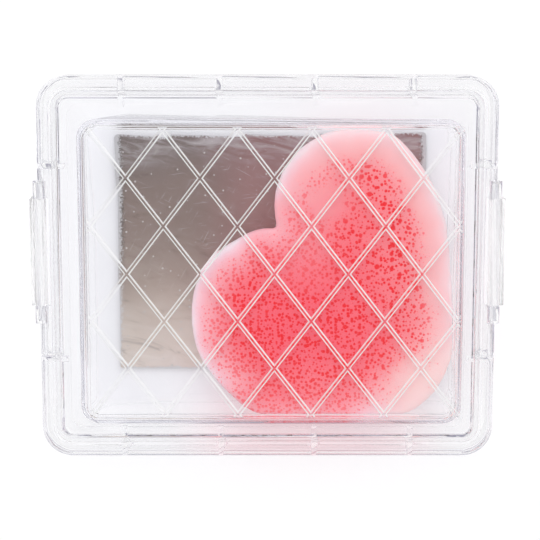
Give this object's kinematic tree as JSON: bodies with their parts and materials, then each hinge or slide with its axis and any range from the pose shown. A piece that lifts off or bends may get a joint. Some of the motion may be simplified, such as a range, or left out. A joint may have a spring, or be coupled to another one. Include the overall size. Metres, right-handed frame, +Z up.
{
  "type": "wet palette",
  "caption": "Shallow clear box with a wide rim, a lattice-ribbed lid and side latches, holding a metal mixing plate and a heart-shaped wetting pad that keeps paint moist.",
  "frame": {"origin": "on the table the box lies on, below the middle of its outer box", "axes": "+X along the length, towards the right latch; +Y along the width, towards the back; +Z up, out of the lid"},
  "size_m": [0.1584, 0.1264, 0.0237],
  "materials": {
    "tray_plastic": "clear, polished",
    "lid_plastic": "clear, polished",
    "latch_plastic": "clear, polished",
    "seal_silicone": "clear, soft",
    "plate_metal": "scuffed satin",
    "pad_sponge": "moist, speckled"
  },
  "bodies": {
    "tray": {"tray": "tray_plastic", "mixing_plate": "plate_metal", "wetting_pad": "pad_sponge"},
    "lid": {"lid": "lid_plastic", "seal_ring": "seal_silicone"},
    "latch_left": {"latch_left": "latch_plastic"},
    "latch_right": {"latch_right": "latch_plastic"}
  },
  "joints": [
    {"name": "lid_lift", "type": "slide", "parent": "tray", "child": "lid", "axis": [0, 0, 1], "range_m": [0, 0.05]},
    {"name": "latch_left_hinge", "type": "hinge", "parent": "lid", "child": "latch_left", "pos_m": [-0.0744, 0.0055, 0.0216], "axis": [0, 1, 0], "range_deg": [0, 120]},
    {"name": "latch_right_hinge", "type": "hinge", "parent": "lid", "child": "latch_right", "pos_m": [0.0744, 0.0055, 0.0216], "axis": [0, -1, 0], "range_deg": [0, 120]}
  ]
}
